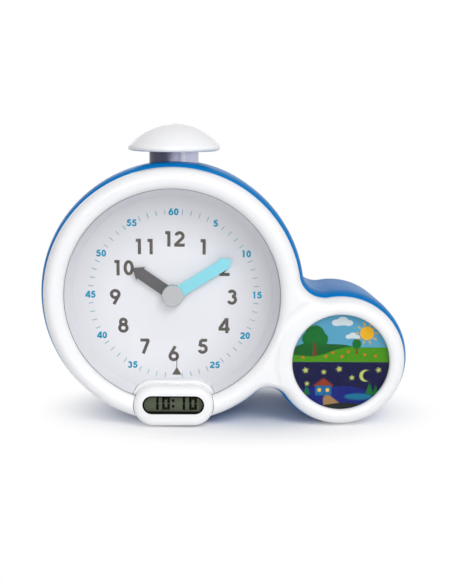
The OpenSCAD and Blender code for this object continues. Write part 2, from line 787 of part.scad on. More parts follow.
// Hands, drawn from their own axis along the x axis and turned to the hour shown
function arrow(long) = [[0, -hand_w / 2], [long - arrow_len, -hand_w / 2],
  [long - arrow_len - arrow_barb, -arrow_w / 2], [long, 0],
  [long - arrow_len - arrow_barb, arrow_w / 2], [long - arrow_len, hand_w / 2], [0, hand_w / 2]];
module hand(long, low, turn, hole_r) difference() {
  union() {
    rotate([0, 0, turn]) slab(arrow(long), low, low + hand_t);
    rod(hand_eye_r, low, low + hand_t);
  }
  rod(hole_r + 0.02, -reach, reach);
}
module hour_hand() color("dimgray") face() hand(hour_len, hour_hand_z, hour_at, pipe_r);
module minute_hand() color("skyblue") face() hand(minute_len, minute_hand_z, minute_at, arbor_r);
module hand_cap() color("gainsboro") face()
  rotate_extrude()
    polygon([[0, cap_low], [hub_r, cap_low], [hub_r, cap_low + hub_h - hub_bevel],
      [hub_r - hub_bevel, cap_low + hub_h], [0, cap_low + hub_h]]);

// Rear shell with its wells, battery tray, seats and openings
back_in = rear_depth - wall;
knob_well_r = knob_r + knob_room;
knob_well_d = back_most - knob_h - knob_under;
tray_w = cell_len + 2 * contact_room;
door_w = tray_w + 2;
cell_pitch = 2 * cell_r + 0.6;
tray_low = door_low + 0.6;
tray_high = tray_low + cells * cell_pitch + 0.4;
tray_d = rear_depth - door_t - 2 * cell_r - 1.2;
door_high = tray_high + 1;
tongue_high = door_high + tongue_h;
door_screw_y = door_high + tongue_h / 2;
pivot_d = rear_depth - door_t / 2;
sleeve_r = guide_r + fit_gap + wall;
board_d = back_in - board_room;
button_places = [for (i = [0:2]) [button_x + i * button_pitch, button_y]];
slider_places = [for (i = [0, 1]) [button_x + 3 + i * slider_pitch, slider_y]];
board_low = [button_x - board_side, slider_y - board_side];
board_high = [button_x + 2 * button_pitch + board_side, button_y + board_head];
post_places = [for (x = [board_low[0] + post_inset, board_high[0] - post_inset],
  y = [board_low[1] + post_inset, board_high[1] - post_inset]) [x, y]];
foot_places = [[-foot_spread, foot_front_d], [foot_spread, foot_front_d], [0, foot_back_d],
  [lobe_dx - lobe_foot_spread, foot_front_d], [lobe_dx + lobe_foot_spread, foot_front_d],
  [lobe_dx, foot_back_d]];
module at_speaker() translate([speaker_x, speaker_y, 0]) children();
module at_each(places) for (p = places) translate([p[0], p[1], 0]) children();
module light_posts() at_lobe()
  at_each([[-light_post_x, light_post_y], [light_post_x, -light_post_y]]) children();
module rear_form(inset, start) intersection() {
  figure_eight(rear_section(inset, start));
  block([-reach, -main_r + inset, -reach], [reach, reach, reach]);
}
module tray_block(grow, low_d) {
  half = tray_w / 2 + grow;
  block([-half, tray_low - grow, -reach], [half, tray_high + grow, -low_d]);
}
module jack_block(grow, low_d, high_d)
  block([jack_x - jack_w / 2 - grow, jack_y - jack_h / 2 - grow, -high_d],
    [jack_x + jack_w / 2 + grow, jack_y + jack_h / 2 + grow, -low_d]);
module moulded_in() {
  at_bosses() rod(well_r, -reach, reach);
  at_setting() rod(knob_well_r + wall, -reach, wall - knob_well_d);
  tray_block(tray_wall, tray_d - tray_wall);
  block([-tongue_w / 2 - 2, tray_high, -reach],
    [tongue_w / 2 + 2, tongue_high + 2, tongue_seat - rear_depth]);
  for (side = [-1, 1]) translate([side * (door_w / 2 + door_gap + 1.2), door_low, 0])
    block([-1.2, -2, -reach], [1.2, 2, 3 - pivot_d]);
  upright() rod(sleeve_r, guide_top - sleeve_len, reach);
  at_each(post_places) rod(post_r, -reach, -board_d - board_t);
  light_posts() rod(post_r, -reach, light_low - board_t);
  at_speaker() ring(speaker_r + fit_gap + speaker_rim, speaker_r + fit_gap, -reach, -back_in + 5);
  jack_block(fit_gap + jack_wall, back_in - jack_grip, reach);
}
module door_outline(gap) {
  half = door_w / 2 + gap;
  block([-half, door_low, -reach], [half, door_high + gap, -rear_depth + door_t]);
  block([-tongue_w / 2 - gap, door_low, -reach],
    [tongue_w / 2 + gap, tongue_high + gap, -rear_depth + door_t]);
}
module hinge_line(r, half) translate([0, door_low, -pivot_d])
  rotate([0, 90, 0]) cylinder(r = r, h = 2 * half, center = true);
module grille() at_speaker() {
  rod(grille_r, -reach, -back_in + 1);
  for (k = [1:3], i = [0:6 * k - 1]) rotate([0, 0, 60 * i / k])
    translate([k * grille_pitch, 0, 0]) rod(grille_r, -reach, -back_in + 1);
}
module slot(places, grow) at_each(places)
  block([-slider_w / 2 - slider_travel / 2 - grow, -slider_h / 2 - grow, -reach],
    [slider_w / 2 + slider_travel / 2 + grow, slider_h / 2 + grow, -back_in + 1]);

module rear_shell() color("dodgerblue") face() difference() {
  rear_form(0, 0);
  difference() {
    rear_form(wall, 1);
    moulded_in();
  }
  at_bosses() {
    rod(screw_r + fit_gap, -reach, 1);
    rod(screw_head_r + fit_gap, -reach, -well_seat);
  }
  upright() {
    rod(guide_r + fit_gap, 0, guide_top);
    rod(stem_r + stop_clear, 0, reach);
  }
  at_setting() {
    rod(knob_well_r, -reach, -knob_well_d);
    rod(knob_stem_r + stop_clear, -reach, 0);
  }
  tray_block(0, tray_d);
  door_outline(door_gap);
  hinge_line(door_t / 2 + door_gap, door_w / 2 + door_gap);
  block([-door_w / 2 - door_gap, door_low - door_t / 2 - door_gap, -reach],
    [door_w / 2 + door_gap, door_low, -pivot_d]);
  hinge_line(door_pin_r + run_clear, door_w / 2 + door_pin_len + door_gap);
  translate([0, door_screw_y, 0]) rod(screw_r + swing_room, -reach, tongue_seat - rear_depth - 1.5);
  grille();
  at_each(button_places) rod(button_r + stem_clear, -reach, -back_in + 1);
  slot(slider_places, fit_gap);
  jack_block(fit_gap, 0, back_in);
  translate([jack_x, jack_y, 0]) rod(jack_nose_r + 0.1, -reach, -back_in + 1);
  at_each(post_places) rod(board_screw_r + 0.02, -board_d - board_screw_len, 0);
  light_posts() rod(board_screw_r + 0.02, light_low - board_screw_len, 0);
}

// Boards, switches, buttons and speaker on the inside of the back
module main_board() color("seagreen") face() difference() {
  block([board_low[0], board_low[1], -board_d - board_t], [board_high[0], board_high[1], -board_d]);
  at_each(post_places) rod(board_screw_r + 0.1, -reach, reach);
}
module small_screw(z) {
  rod(board_screw_r, z - board_screw_len + 0.5, z + 0.1);
  rod(board_screw_r + 0.9, z, z + 1.2);
}
module board_screws() color("silver") face() {
  at_each(post_places) small_screw(-board_d);
  light_posts() small_screw(light_low);
}
tact_top = board_d + board_t + tact_h;
module button_switches() color("dimgray") face() at_each(button_places) {
  block([-switch_side / 2, -switch_side / 2, -tact_top + plunger_h],
    [switch_side / 2, switch_side / 2, -board_d - board_t]);
  rod(plunger_r, -tact_top, -board_d - board_t);
}
module push_button(place) face() translate([place[0], place[1], 0])
  rotate_extrude()
    polygon([[0, -rear_depth - button_out], [button_r - 0.6, -rear_depth - button_out],
      [button_r, -rear_depth - button_out + 0.6], [button_r, -back_in],
      [button_r + 1.1, -back_in], [button_r + 1.1, -back_in + 1],
      [plunger_r, -back_in + 1], [plunger_r, -tact_top - button_travel],
      [0, -tact_top - button_travel]]);
module set_button() color("white") push_button(button_places[0]);
module hour_button() color("white") push_button(button_places[1]);
module minute_button() color("white") push_button(button_places[2]);

slide_top = board_d + board_t + slide_h;
module slide_switches() color("dimgray") face() at_each(slider_places)
  block([-slide_body_w / 2, -slide_body_h / 2, -slide_top],
    [slide_body_w / 2, slide_body_h / 2, -board_d - board_t]);
module slider(place) face() translate([place[0] - slider_travel / 2, place[1], 0]) {
  block([-slider_w / 2, -slider_h / 2, -rear_depth - slider_out],
    [slider_w / 2, slider_h / 2, -back_in + 0.5]);
  block([-slider_w / 2 - 1.2, -slider_h / 2 - 1.2, -back_in + 0.05],
    [slider_w / 2 + 1.2, slider_h / 2 + 1.2, -back_in + 1.05]);
  block([-1.5, -1.2, -back_in + 1], [1.5, 1.2, -slide_top]);
}
module alarm_slider() color("white") slider(slider_places[0]);
module volume_slider() color("white") slider(slider_places[1]);

module speaker_frame() color("dimgray") face() at_speaker()
  rotate_extrude()
    translate([0, -back_in])
      polygon([[speaker_r - speaker_hem, 0], [speaker_r, 0], [speaker_r, speaker_t],
        [speaker_r - basket_wall, speaker_t], [magnet_r + basket_step, basket_h], [magnet_r, basket_h],
        [magnet_r, basket_h + magnet_h], [0, basket_h + magnet_h], [0, basket_h + speaker_t],
        [magnet_r - basket_wall, basket_h - speaker_t / 2], [speaker_r - speaker_hem, speaker_t * 2 / 3]]);
module speaker_cone() color("black") face() at_speaker()
  rotate_extrude()
    translate([0, -back_in])
      polygon([[0, cone_h], [voice_r - cone_t, cone_h - cone_t], [voice_r - cone_t, cone_h - 4 * cone_t],
        [speaker_r - speaker_hem - 1.5 * cone_t, 2 * cone_t], [speaker_r - speaker_hem - 0.1, 2 * cone_t],
        [speaker_r - speaker_hem - 0.1, cone_t], [speaker_r - speaker_hem - 2 * cone_t, cone_t],
        [voice_r - 2 * cone_t, cone_h - 5 * cone_t], [0, cone_h - 6 * cone_t]]);

module dc_jack() color("black") face() difference() {
  union() {
    jack_block(0, back_in - jack_depth, back_in);
    translate([jack_x, jack_y, 0]) rod(jack_nose_r, -rear_depth, -back_in + 1);
  }
  translate([jack_x, jack_y, 0]) difference() {
    rod(jack_r, -reach, -rear_depth + jack_bore);
    rod(jack_pin_r, -rear_depth + 0.8, -rear_depth + jack_bore);
  }
}

// Cells lie side by side, each turned end for end from its neighbour
module at_cells() for (i = [0:cells - 1])
  translate([0, tray_low + 0.2 + cell_pitch * (i + 0.5), -tray_d - cell_r - 0.1])
    rotate([0, i % 2 == 0 ? 90 : -90, 0]) children();
module battery_cells() color("dimgray") face() at_cells() translate([0, 0, -cell_len / 2]) {
  cylinder(r = cell_r, h = cell_len - 1);
  cylinder(r = cell_nub_r, h = cell_len);
}
module battery_contacts() color("silver") face() at_cells() {
  low = -tray_w / 2;
  contact = cell_r - 1.4;
  translate([-contact, -contact, low]) cube([2 * contact, 2 * contact, contact_t]);
  translate([0, 0, low]) cylinder(r1 = contact - 1, r2 = cell_nub_r, h = contact_room);
  translate([-contact, -contact, -low - contact_t]) cube([2 * contact, 2 * contact, contact_t]);
  translate([0, 0, -low - contact_room]) cylinder(r = cell_nub_r, h = contact_room);
}

module battery_door() color("dodgerblue") face() difference() {
  union() {
    intersection() {
      door_outline(0);
      block([-reach, -reach, -rear_depth], [reach, reach, 0]);
    }
    hinge_line(door_t / 2, door_w / 2);
    hinge_line(door_pin_r, door_w / 2 + door_pin_len);
  }
  translate([0, door_screw_y, 0]) {
    rod(screw_r + 0.05, -reach, reach);
    rod(screw_head_r + 0.05, -reach, -rear_depth + head_sink);
  }
}
module door_screw() color("silver") face() translate([0, door_screw_y, 0]) {
  rod(screw_head_r, -rear_depth + 0.2, -rear_depth + head_sink);
  rod(screw_r, -rear_depth + 0.2, -rear_depth + door_t + 4);
}

module housing_screws() color("silver") face() at_bosses() {
  rod(screw_head_r, -well_seat - screw_head_h, -well_seat);
  rod(screw_r, -well_seat - 1, pilot_top - 0.4);
}

module feet() color("black") face() for (p = foot_places)
  translate([p[0], -main_r, -p[1]]) rotate([90, 0, 0]) cylinder(r = foot_r, h = foot_t);

front_shell();
rear_shell();
dial_lens();
dial_surround();
dial_plate();
lcd_pod();
lcd_window();
lcd_panel();
display_board();
picture_lens();
picture_disc();
light_box();
light_board();
day_led();
night_led();
movement_case();
movement_lid();
movement_nut();
drive_coil();
minute_arbor();
hour_wheel();
minute_wheel();
time_set_knob();
hour_hand();
minute_hand();
hand_cap();
snooze_cap();
snooze_stem();
snooze_guide();
snooze_base();
snooze_spring();
snooze_switch();
main_board();
board_screws();
button_switches();
slide_switches();
set_button();
hour_button();
minute_button();
alarm_slider();
volume_slider();
speaker_frame();
speaker_cone();
dc_jack();
battery_cells();
battery_contacts();
battery_door();
door_screw();
housing_screws();
feet();
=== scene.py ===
import json
import math
import bpy
from mathutils import Matrix, Vector


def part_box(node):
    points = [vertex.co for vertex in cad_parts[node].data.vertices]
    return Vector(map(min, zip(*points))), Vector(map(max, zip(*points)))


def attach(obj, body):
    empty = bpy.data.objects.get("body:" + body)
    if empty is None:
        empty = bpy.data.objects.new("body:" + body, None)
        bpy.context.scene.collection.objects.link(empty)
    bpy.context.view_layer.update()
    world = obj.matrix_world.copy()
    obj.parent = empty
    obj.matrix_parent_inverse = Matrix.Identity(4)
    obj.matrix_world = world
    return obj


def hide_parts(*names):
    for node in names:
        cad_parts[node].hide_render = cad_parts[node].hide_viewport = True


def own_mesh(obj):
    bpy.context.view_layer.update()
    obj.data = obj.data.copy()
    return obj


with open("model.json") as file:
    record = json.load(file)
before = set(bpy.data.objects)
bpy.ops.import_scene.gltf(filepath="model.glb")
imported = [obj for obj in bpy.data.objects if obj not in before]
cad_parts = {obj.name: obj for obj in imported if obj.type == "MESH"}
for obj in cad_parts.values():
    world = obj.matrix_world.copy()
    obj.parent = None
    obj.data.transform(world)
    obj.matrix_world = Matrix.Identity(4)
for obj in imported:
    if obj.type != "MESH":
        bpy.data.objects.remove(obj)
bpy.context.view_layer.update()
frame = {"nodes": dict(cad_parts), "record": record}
nodes = frame["nodes"]
bpy.ops.object.select_all(action="DESELECT")

mm = 0.001
scene = bpy.context.scene
dialSunk = 5.0  # millimetres from the parting plane of the two shells back to the dial's face


def boxCentre(name):
    low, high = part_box(name)
    return (low + high) / 2


# Places are taken from the frame, so the looks follow the construction
dialCentre = boxCentre("dial_plate")
lobeCentre = boxCentre("picture_disc")
podCentre = boxCentre("lcd_window")
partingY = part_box("dial_plate")[0].y - dialSunk * mm


def onFace(u, v, w):  # millimetres right, up and forward of the dial's centre on the parting plane
    return Vector((dialCentre.x + u * mm, partingY - w * mm, dialCentre.z + v * mm))


def offDial(point):  # millimetres right and up of the dial's centre
    return (point.x - dialCentre.x) / mm, (point.z - dialCentre.z) / mm


def forward(point):  # millimetres forward of the parting plane
    return (partingY - point.y) / mm


cameraSet = {
    "aside": 22.1, "above": 109.5, "away": 602.6,      # millimetres, taken as onFace takes them
    "turn": 0.86, "down": 10.06, "tilt": 0.45,         # degrees
    "lens": 83.58, "sensor": 36, "near": 10 * mm,
}


def placeCamera(s):
    turn, down, tilt = (math.radians(s[k]) for k in ("turn", "down", "tilt"))
    ahead = Vector((math.sin(turn) * math.cos(down), math.cos(turn) * math.cos(down), -math.sin(down)))
    level = Vector((math.cos(turn), -math.sin(turn), 0))
    over = level.cross(ahead)
    right = level * math.cos(tilt) + over * math.sin(tilt)
    up = over * math.cos(tilt) - level * math.sin(tilt)
    bpy.ops.object.camera_add()
    camera = bpy.context.object
    camera.name = "viewCamera"
    camera.data.lens = s["lens"]
    camera.data.sensor_width = s["sensor"]
    camera.data.sensor_fit = "HORIZONTAL"
    camera.data.clip_start = s["near"]
    turned = Matrix((right, up, -ahead)).transposed().to_4x4()
    camera.matrix_world = Matrix.Translation(onFace(s["aside"], s["above"], s["away"])) @ turned
    scene.camera = camera


placeCamera(cameraSet)
scene.view_settings.view_transform = "Standard"
print("camera placed")


def newMaterial(name):
    material = bpy.data.materials.new(name)
    material.use_nodes = True
    tree = material.node_tree
    return material, tree, tree.nodes["Principled BSDF"]


def addNode(tree, kind, **sockets):
    node = tree.nodes.new(kind)
    for name, value in sockets.items():
        node.inputs[name.replace("_", " ")].default_value = value
    return node


def mathNode(tree, operation, *values, clamp=False):  # each value is a socket or a number
    node = tree.nodes.new("ShaderNodeMath")
    node.operation = operation
    node.use_clamp = clamp
    for value, socket in zip(values, node.inputs):
        if isinstance(value, bpy.types.NodeSocket):
            tree.links.new(value, socket)
        else:
            socket.default_value = value
    return node.outputs[0]


def mixColours(tree, share, first, second):
    mix = tree.nodes.new("ShaderNodeMix")
    mix.data_type = "RGBA"
    mix.inputs["A"].default_value = (*first, 1)
    mix.inputs["B"].default_value = (*second, 1)
    tree.links.new(share, mix.inputs["Factor"])
    return mix.outputs["Result"]


def mixShaders(tree, share, first, second):  # and the mix is what the surface shows
    mix = tree.nodes.new("ShaderNodeMixShader")
    tree.links.new(share, mix.inputs["Fac"])
    tree.links.new(first.outputs[0], mix.inputs[1])
    tree.links.new(second.outputs[0], mix.inputs[2])
    tree.links.new(mix.outputs[0], tree.nodes["Material Output"].inputs["Surface"])


def seenRays(tree):  # rays that show the background, straight or in metal and glass, not those that light
    path = tree.nodes.new("ShaderNodeLightPath").outputs
    shiny = mathNode(tree, "ADD", path["Is Camera Ray"], path["Is Glossy Ray"])
    shown = mathNode(tree, "ADD", shiny, path["Is Transmission Ray"], clamp=True)
    return mathNode(tree, "SUBTRACT", shown, path["Diffuse Depth"], clamp=True)


studioSet = {  # metres and watts
    "floor": 8.0, "floorColour": (0.94, 0.945, 0.955), "floorRough": 0.6, "floorSpecular": 0.1,
    "clearFrom": 0.048, "clearTo": 0.13, "clearDeep": 1.6, "clearRound": (0.009, 0.0, 0.0),
    "world": 0.34, "worldTint": (0.955, 0.945, 1.0), "white": (1, 1, 1), "aim": (0.02, 0, 0.07),
    "lamps": {
        "keySoft": {"at": (0.62, -1.10, 1.22), "size": 0.9, "power": 13.0},
        "topSoft": {"at": (0.1, -0.3, 1.3), "size": 1.0, "power": 0.6},
        "frontFill": {"at": (-0.05, -1.9, 0.36), "size": 1.2, "power": 13.2},
        "backSoft": {"at": (-0.6, 1.7, 0.35), "size": 1.0, "power": 2.5},
    },
}


def layFloor(s):  # the floor clears to white in an oval round the object
    bpy.ops.mesh.primitive_plane_add(size=s["floor"], location=(0, 0, 0))
    floor = bpy.context.object
    floor.name = "studioFloor"
    bpy.ops.object.transform_apply(location=True, rotation=True, scale=True)
    material, tree, shader = newMaterial("studioFloor")
    shader.inputs["Base Color"].default_value = (*s["floorColour"], 1)
    shader.inputs["Roughness"].default_value = s["floorRough"]
    shader.inputs["Specular IOR Level"].default_value = s["floorSpecular"]
    coords = tree.nodes.new("ShaderNodeTexCoord")
    oval = addNode(tree, "ShaderNodeMapping", Location=s["clearRound"], Scale=(1, 1 / s["clearDeep"], 1))
    oval.vector_type = "TEXTURE"
    tree.links.new(coords.outputs["Object"], oval.inputs["Vector"])
    away = tree.nodes.new("ShaderNodeVectorMath")
    away.operation = "LENGTH"
    tree.links.new(oval.outputs["Vector"], away.inputs[0])
    clear = addNode(tree, "ShaderNodeMapRange", From_Min=s["clearFrom"], From_Max=s["clearTo"])
    clear.interpolation_type = "SMOOTHSTEP"
    tree.links.new(away.outputs["Value"], clear.inputs["Value"])
    share = mathNode(tree, "MULTIPLY", clear.outputs["Result"], seenRays(tree))
    mixShaders(tree, share, shader, tree.nodes.new("ShaderNodeEmission"))
    floor.data.materials.append(material)


def lightStudio(s):
    world = bpy.data.worlds.new("studioWorld")
    world.use_nodes = True
    tree = world.node_tree
    # soft light on surfaces, plain white where it is seen
    glow = mixColours(tree, seenRays(tree), [s["world"] * c for c in s["worldTint"]], s["white"])
    tree.links.new(glow, tree.nodes["Background"].inputs["Color"])
    scene.world = world

    for name, lamp in s["lamps"].items():
        bpy.ops.object.light_add(type="AREA", location=lamp["at"])
        light = bpy.context.object
        light.name = name
        light.data.shape = "SQUARE"
        light.data.size = lamp["size"]
        light.data.energy = lamp["power"]
        aim = Vector(s["aim"]) - Vector(lamp["at"])
        light.rotation_euler = aim.to_track_quat("-Z", "Y").to_euler()


layFloor(studioSet)
lightStudio(studioSet)
print("studio lit")


def objectPoint(tree, centre=(0, 0, 0)):
    coords = tree.nodes.new("ShaderNodeTexCoord")
    mapping = addNode(tree, "ShaderNodeMapping", Location=[-c for c in centre])
    tree.links.new(coords.outputs["Object"], mapping.inputs["Vector"])
    return mapping.outputs["Vector"]


def ringRadius(tree, centre):  # how far a point lies from the dial's axis
    split = tree.nodes.new("ShaderNodeSeparateXYZ")
    tree.links.new(objectPoint(tree, centre), split.inputs[0])
    flat = tree.nodes.new("ShaderNodeCombineXYZ")
    for axis in "XZ":
        tree.links.new(split.outputs[axis], flat.inputs[axis])
    length = tree.nodes.new("ShaderNodeVectorMath")
    length.operation = "LENGTH"
    tree.links.new(flat.outputs[0], length.inputs[0])
    return length.outputs["Value"]


def relieve(tree, shader, height, strength, depth):
    relief = addNode(tree, "ShaderNodeBump", Strength=strength, Distance=depth)
    tree.links.new(height, relief.inputs["Height"])
    tree.links.new(relief.outputs["Normal"], shader.inputs["Normal"])


# A wide noise drifts the colour, and a fine one the roughness and relief. The lift shows the drift on black
grainSet = {"wide": 35, "wideDetail": 3, "fineDetail": 2, "lift": 0.01, "depth": 0.05 * mm,
            "middle": (0.3, 0.7)}


def roughen(tree, shader, noise, rough):  # the middle range of a noise becomes the range of the roughness
    low, high = grainSet["middle"]
    span = addNode(tree, "ShaderNodeMapRange", From_Min=low, From_Max=high, To_Min=rough[0], To_Max=rough[1])
    tree.links.new(noise, span.inputs["Value"])
    tree.links.new(span.outputs["Result"], shader.inputs["Roughness"])


def plainFinish(name, colour, rough=(0.3, 0.4), drift=0.03, grain=900, bump=0.03, metal=0.0, specular=0.5):
    s = grainSet
    material, tree, shader = newMaterial(name)
    where = objectPoint(tree)
    wide = addNode(tree, "ShaderNodeTexNoise", Scale=s["wide"], Detail=s["wideDetail"])
    fine = addNode(tree, "ShaderNodeTexNoise", Scale=grain, Detail=s["fineDetail"])
    for noise in (wide, fine):
        tree.links.new(where, noise.inputs["Vector"])
    tint = mixColours(tree, wide.outputs["Fac"], [c * (1 - drift) for c in colour],
                      [min(1, c * (1 + drift) + drift * s["lift"]) for c in colour])
    tree.links.new(tint, shader.inputs["Base Color"])
    roughen(tree, shader, fine.outputs["Fac"], rough)
    relieve(tree, shader, fine.outputs["Fac"], bump, s["depth"])
    shader.inputs["Metallic"].default_value = metal
    shader.inputs["Specular IOR Level"].default_value = specular
    return material


glassSet = {"grain": 60, "detail": 2, "bump": 0.02, "depth": 0.02 * mm}


def clearFinish(name, colour, rough, bend=1.2, s=glassSet):
    material, tree, shader = newMaterial(name)
    shader.inputs["Base Color"].default_value = (*colour, 1)
    shader.inputs["Transmission Weight"].default_value = 1
    shader.inputs["IOR"].default_value = bend
    noise = addNode(tree, "ShaderNodeTexNoise", Scale=s["grain"], Detail=s["detail"])
    tree.links.new(objectPoint(tree), noise.inputs["Vector"])
    roughen(tree, shader, noise.outputs["Fac"], rough)
    relieve(tree, shader, noise.outputs["Fac"], s["bump"], s["depth"])
    # light on its way to what is behind goes straight through
    path = tree.nodes.new("ShaderNodeLightPath").outputs
    lit = mathNode(tree, "ADD", path["Is Shadow Ray"], path["Is Diffuse Ray"], clamp=True)
    mixShaders(tree, lit, shader, tree.nodes.new("ShaderNodeBsdfTransparent"))
    return material


surroundRings = {"pitch": 0.8 * mm, "rough": (0.35, 0.45), "drift": 0.02, "bump": 0.3, "depth": 0.06 * mm,
                 "shade": 0.93}


def ringedFinish(name, colour, centre, s):  # fine turned grooves round the dial, their bottoms darkened with painted shade
    material = plainFinish(name, colour, rough=s["rough"], drift=s["drift"])
    tree = material.node_tree
    shader = tree.nodes["Principled BSDF"]
    waves = mathNode(tree, "MULTIPLY", ringRadius(tree, centre), 2 * math.pi / s["pitch"])
    sine = mathNode(tree, "SINE", waves)
    relieve(tree, shader, sine, s["bump"], s["depth"])
    shade = addNode(tree, "ShaderNodeMapRange", From_Min=-1, From_Max=1, To_Min=0, To_Max=1)
    tree.links.new(sine, shade.inputs["Value"])
    # painted shade: the colour darkens towards the bottom of each groove
    tint = mixColours(tree, shade.outputs["Result"], [c * s["shade"] for c in colour], colour)
    tree.links.new(tint, shader.inputs["Base Color"])
    return material


dialDish = {"flatTo": 26 * mm, "rim": 62.9 * mm, "slope": 1.0, "rough": (0.5, 0.6), "drift": 0.01,
            "grain": 1500, "specular": 0.2}


def dishedFinish(name, colour, centre, s):  # a flat dial face, bumped so it shades as if it lifted softly towards its rim
    material = plainFinish(name, colour, rough=s["rough"], drift=s["drift"], grain=s["grain"],
                           specular=s["specular"])
    tree = material.node_tree
    reach = addNode(tree, "ShaderNodeMapRange", From_Min=s["flatTo"], From_Max=s["rim"])
    tree.links.new(ringRadius(tree, centre), reach.inputs["Value"])
    lift = mathNode(tree, "POWER", reach.outputs["Result"], 2)
    relieve(tree, tree.nodes["Principled BSDF"], lift, 1, s["slope"] * (s["rim"] - s["flatTo"]) / 2)
    return material


# painted shade and a painted highlight: the stem's colour runs dark to pale across it, standing in for its
# reflections
stemPaintedShades = {
    "dark": (0.09, 0.086, 0.14), "lilac": (0.43, 0.435, 0.55), "pale": (0.84, 0.83, 0.95),
    "line": (0.97, 0.97, 0.98),
    # the "line" stop is a painted highlight; "dark" and "pale" are painted shade and painted light
    "stops": [(0.0, "dark"), (0.34, "dark"), (0.62, "lilac"), (0.695, "pale"), (0.72, "line"), (0.75, "pale"),
              (1.0, "pale")],
    "reach": 14.6 * mm, "rough": (0.42, 0.5), "grain": 600, "metal": 0.5,
}


def stemFinish(name, centre, s):  # satin plastic with painted shade running from dark on one side to pale on the other, and one painted highlight line
    material = plainFinish(name, s["lilac"], rough=s["rough"], grain=s["grain"], metal=s["metal"])
    tree = material.node_tree
    split = tree.nodes.new("ShaderNodeSeparateXYZ")
    tree.links.new(objectPoint(tree, centre), split.inputs[0])
    across = addNode(tree, "ShaderNodeMapRange", From_Min=-s["reach"], From_Max=s["reach"])
    tree.links.new(split.outputs["X"], across.inputs["Value"])
    ramp = tree.nodes.new("ShaderNodeValToRGB")
    ramp.color_ramp.interpolation = "EASE"
    while len(ramp.color_ramp.elements) < len(s["stops"]):
        ramp.color_ramp.elements.new(0.5)
    for element, (place, shade) in zip(ramp.color_ramp.elements, s["stops"]):
        element.position = place
        element.color = (*s[shade], 1)
    tree.links.new(across.outputs["Result"], ramp.inputs["Fac"])
    tree.links.new(ramp.outputs["Color"], tree.nodes["Principled BSDF"].inputs["Base Color"])
    return material


finishes = {
    "white_gloss": plainFinish("whiteGloss", (0.875, 0.88, 0.885), rough=(0.20, 0.26), drift=0.012, grain=260,
                               bump=0.02),
    "blue_gloss": plainFinish("blueGloss", (0.0, 0.185, 0.52), rough=(0.28, 0.34), drift=0.05, grain=260,
                              bump=0.02, specular=0.035),
    "clear_lens": clearFinish("clearLens", (0.97, 0.97, 0.98), rough=(0.0, 0.012)),
    "pale_surround": ringedFinish("ringedSurround", (0.74, 0.74, 0.77), dialCentre, surroundRings),
    "dial_white": dishedFinish("dialWhite", (0.785, 0.795, 0.82), dialCentre, dialDish),
    "grey_satin": stemFinish("stemPaintedReflection", boxCentre("snooze_stem"), stemPaintedShades),
    "display_clear": clearFinish("displayClear", (0.95, 0.97, 0.95), rough=(0.02, 0.04), bend=1.1),
    "display_green": plainFinish("displayGreen", (0.112, 0.128, 0.085), rough=(0.4, 0.5), drift=0.04,
                                 grain=2500, specular=0.1),
    "board_green": plainFinish("boardGreen", (0.02, 0.16, 0.07), drift=0.15, grain=1500),
    "picture_film": plainFinish("pictureFilm", (0.2, 0.5, 0.5), rough=(0.4, 0.5)),
    "inner_white": plainFinish("innerWhite", (0.8, 0.8, 0.78), rough=(0.45, 0.55), grain=500),
    "led_clear": clearFinish("ledClear", (1.0, 0.98, 0.9), rough=(0.02, 0.05)),
    "movement_black": plainFinish("movementBlack", (0.02, 0.02, 0.021), rough=(0.4, 0.5), drift=0.2,
                                  grain=500, bump=0.1),
    "brass": plainFinish("brassTurned", (0.62, 0.43, 0.15), rough=(0.2, 0.3), drift=0.08, metal=1.0),
    "copper_wire": plainFinish("copperWire", (0.6, 0.25, 0.12), rough=(0.25, 0.4), drift=0.1, metal=1.0),
    "hand_grey": plainFinish("handGrey", (0.105, 0.10, 0.105), rough=(0.4, 0.5), drift=0.06, grain=1500,
                             specular=0.2),
    "hand_cyan": plainFinish("handCyan", (0.25, 0.68, 0.76), rough=(0.35, 0.45), grain=1500, specular=0.2),
    "hub_grey": plainFinish("hubGrey", (0.48, 0.49, 0.49), rough=(0.35, 0.45), grain=1500, specular=0.3),
    "spring_steel": plainFinish("springSteel", (0.5, 0.5, 0.52), rough=(0.2, 0.3), metal=1.0),
    "screw_steel": plainFinish("screwSteel", (0.55, 0.55, 0.56), rough=(0.25, 0.35), grain=2000, bump=0.1,
                               metal=1.0),
    "switch_black": plainFinish("switchBlack", (0.025, 0.025, 0.027), rough=(0.35, 0.45), drift=0.15,
                                bump=0.06),
    "speaker_black": plainFinish("speakerBlack", (0.03, 0.03, 0.03), rough=(0.35, 0.45), drift=0.15),
    "cone_paper": plainFinish("conePaper", (0.03, 0.03, 0.03), rough=(0.7, 0.85), drift=0.25, grain=2500,
                              bump=0.3),
    "cell_wrap": plainFinish("cellWrap", (0.06, 0.09, 0.10), rough=(0.25, 0.3), drift=0.1, metal=0.4),
    "contact_plate": plainFinish("contactPlate", (0.6, 0.6, 0.6), rough=(0.2, 0.3), grain=2000, metal=1.0),
    "foot_rubber": plainFinish("footRubber", (0.02, 0.02, 0.022), rough=(0.6, 0.75), drift=0.2, grain=1800,
                               bump=0.2),
}

shadingSet = {"weld": 0.01 * mm, "crease": 28, "weight": 50}


def finishNodes(s):  # one soft shading for the moulded faces, crisp edges kept
    slotOf = {part["node"]: part["material_slot"] for part in frame["record"]["subparts"]}
    for name, node in nodes.items():
        node.data.materials.clear()
        node.data.materials.append(finishes[slotOf[name]])
        weld = node.modifiers.new("weld", "WELD")
        weld.merge_threshold = s["weld"]
        split = node.modifiers.new("edges", "EDGE_SPLIT")
        split.split_angle = math.radians(s["crease"])
        split.use_edge_sharp = False
        even = node.modifiers.new("evenShading", "WEIGHTED_NORMAL")
        even.keep_sharp = False
        even.weight = s["weight"]


finishNodes(shadingSet)
print("finishes on the frame")

